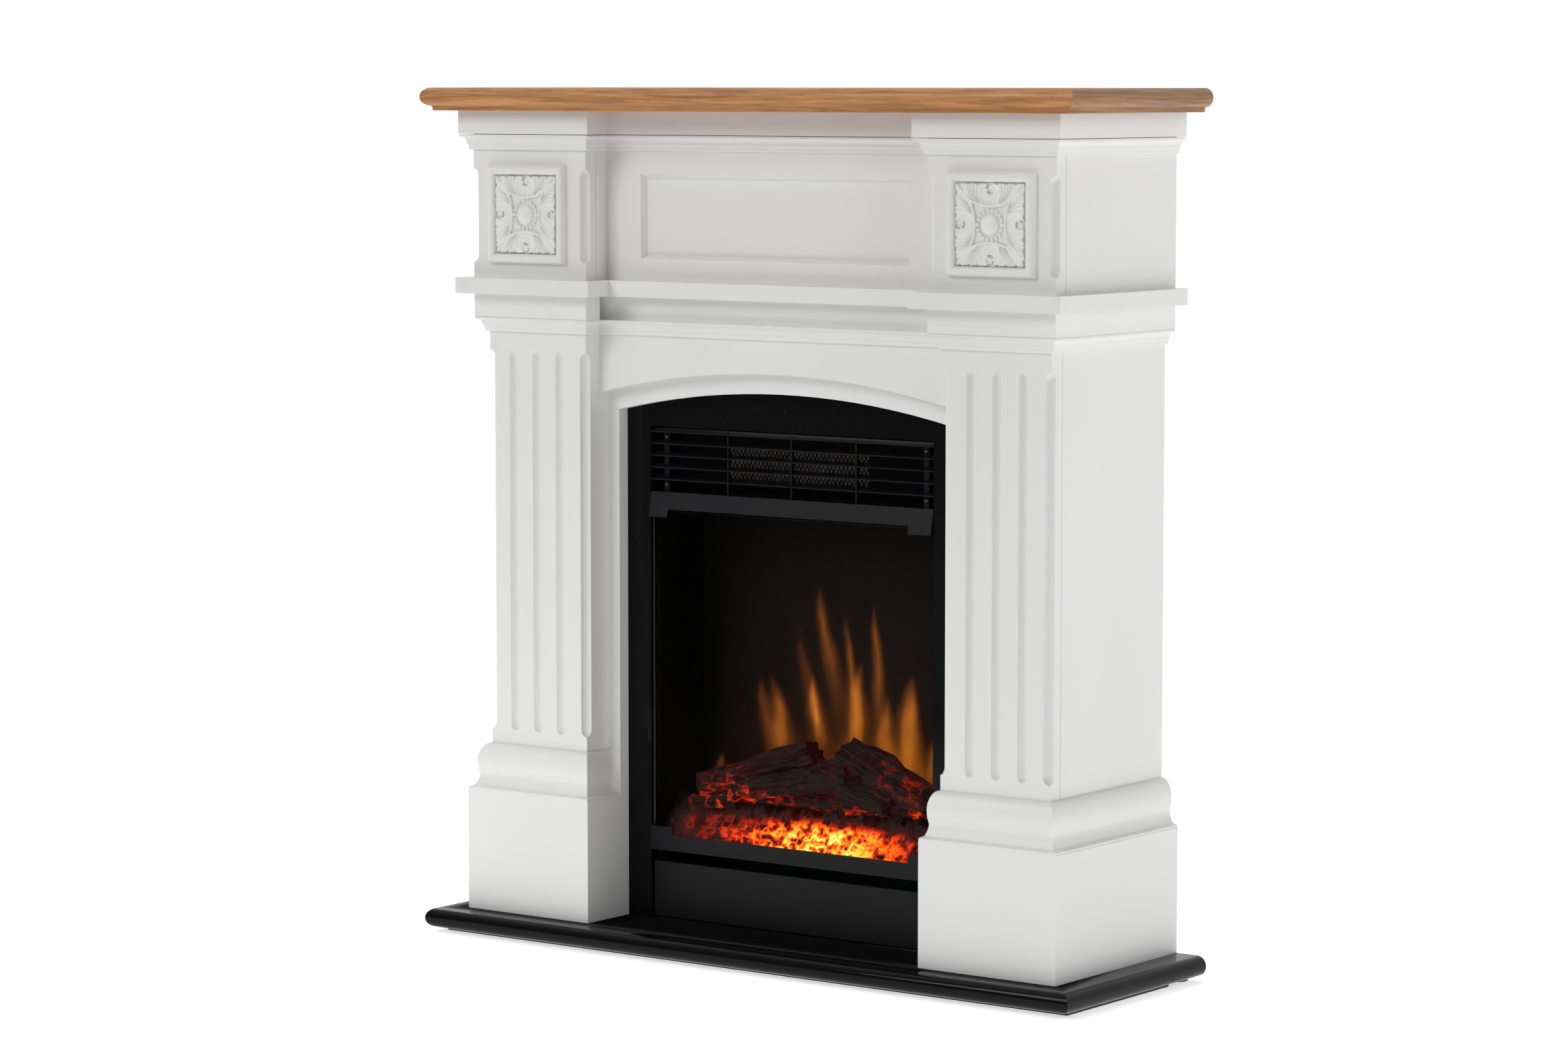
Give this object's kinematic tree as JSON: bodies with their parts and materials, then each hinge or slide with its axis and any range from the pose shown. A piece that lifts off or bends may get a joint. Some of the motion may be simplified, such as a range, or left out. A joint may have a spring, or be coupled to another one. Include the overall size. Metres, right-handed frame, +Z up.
{
  "type": "electric fireplace",
  "caption": "Electric fireplace: white timber surround with oak shelf and black hearth around a glazed insert with a fan heater and flame picture.",
  "frame": {"origin": "middle of the footprint on the floor", "axes": "+Z up, -Y the front that faces the room, +X to the viewer's right when facing the front"},
  "size_m": [0.984, 0.308, 1.08],
  "materials": {
    "white_paint": "satin white paint on fibreboard",
    "oak": "satin lacquered oak veneer",
    "cast_white": "painted resin casting",
    "black_gloss": "high gloss black lacquer",
    "raw_board": "black edged board",
    "glide_pad": "turned wooden glide",
    "black_steel": "satin black powder coat",
    "galvanised": "galvanised sheet",
    "zinc_screw": "zinc plated",
    "heater_fins": "bare fins",
    "blower_alloy": "bright sheet",
    "motor_steel": "rolled steel",
    "clear_glass": "clear toughened glass",
    "log_resin": "painted resin logs",
    "ember_resin": "translucent painted resin",
    "flame_film": "translucent printed screen",
    "circuit_board": "circuit board",
    "switch_body": "moulded",
    "switch_rocker": "moulded, gloss"
  },
  "bodies": {
    "surround": {"oak_shelf": "oak", "shelf_front_lipping": "oak", "shelf_left_lipping": "oak", "shelf_right_lipping": "oak", "fascia": "white_paint", "cornice_left": "white_paint", "cornice_centre": "white_paint", "cornice_right": "white_paint", "capital_left": "white_paint", "capital_right": "white_paint", "rosette_frame_left": "white_paint", "rosette_frame_right": "white_paint", "rosette_left": "cast_white", "rosette_right": "cast_white", "frieze_panel": "white_paint", "ledge_board": "white_paint", "neck_moulding_left": "white_paint", "neck_moulding_centre": "white_paint", "neck_moulding_right": "white_paint", "pilaster_front_left": "white_paint", "pilaster_front_right": "white_paint", "pilaster_outer_left": "white_paint", "pilaster_outer_right": "white_paint", "pilaster_inner_left": "white_paint", "pilaster_inner_right": "white_paint", "base_moulding_left": "white_paint", "base_moulding_right": "white_paint", "plinth_left": "white_paint", "plinth_right": "white_paint", "arch_panel": "white_paint", "arch_frame": "white_paint", "infill_top": "black_gloss", "infill_left": "black_gloss", "infill_right": "black_gloss", "hearth_slab": "black_gloss", "hearth_base": "raw_board", "hearth_glides": "glide_pad", "firebox_case": "black_steel", "firebox_back": "galvanised", "louvre_grille": "black_steel", "heater_guard": "black_steel", "grille_screws": "zinc_screw", "heater_element": "heater_fins", "fan_housing": "galvanised", "fan_motor": "motor_steel", "canopy_trim": "black_steel", "glass_pane": "clear_glass", "lower_fret": "black_steel", "kick_panel": "black_steel", "log_set": "log_resin", "ember_bed": "ember_resin", "flame_screen": "flame_film", "spindle_motor": "motor_steel", "led_board": "circuit_board", "switch_housing": "switch_body"},
    "blower_drum": {"fan_impeller": "blower_alloy"},
    "flame_rotor": {"flame_spindle": "blower_alloy"},
    "flame_rocker": {"flame_switch": "switch_rocker"},
    "low_heat_rocker": {"low_heat_switch": "switch_rocker"},
    "high_heat_rocker": {"high_heat_switch": "switch_rocker"}
  },
  "joints": [
    {"name": "blower_spin", "type": "hinge", "parent": "surround", "child": "blower_drum", "pos_m": [0, 0.074, 0.6051], "axis": [1, 0, 0], "continuous": true},
    {"name": "flame_rotor_spin", "type": "hinge", "parent": "surround", "child": "flame_rotor", "pos_m": [0, 0.104, 0.202], "axis": [1, 0, 0], "continuous": true},
    {"name": "flame_rocker_press", "type": "hinge", "parent": "surround", "child": "flame_rocker", "pos_m": [0.2035, -0.0235, 0.089], "axis": [1, 0, 0], "range_deg": [-14, 0]},
    {"name": "low_heat_rocker_press", "type": "hinge", "parent": "surround", "child": "low_heat_rocker", "pos_m": [0.2035, -0.0235, 0.068], "axis": [1, 0, 0], "range_deg": [-14, 0]},
    {"name": "high_heat_rocker_press", "type": "hinge", "parent": "surround", "child": "high_heat_rocker", "pos_m": [0.2035, -0.0235, 0.047], "axis": [1, 0, 0], "range_deg": [-14, 0]}
  ]
}
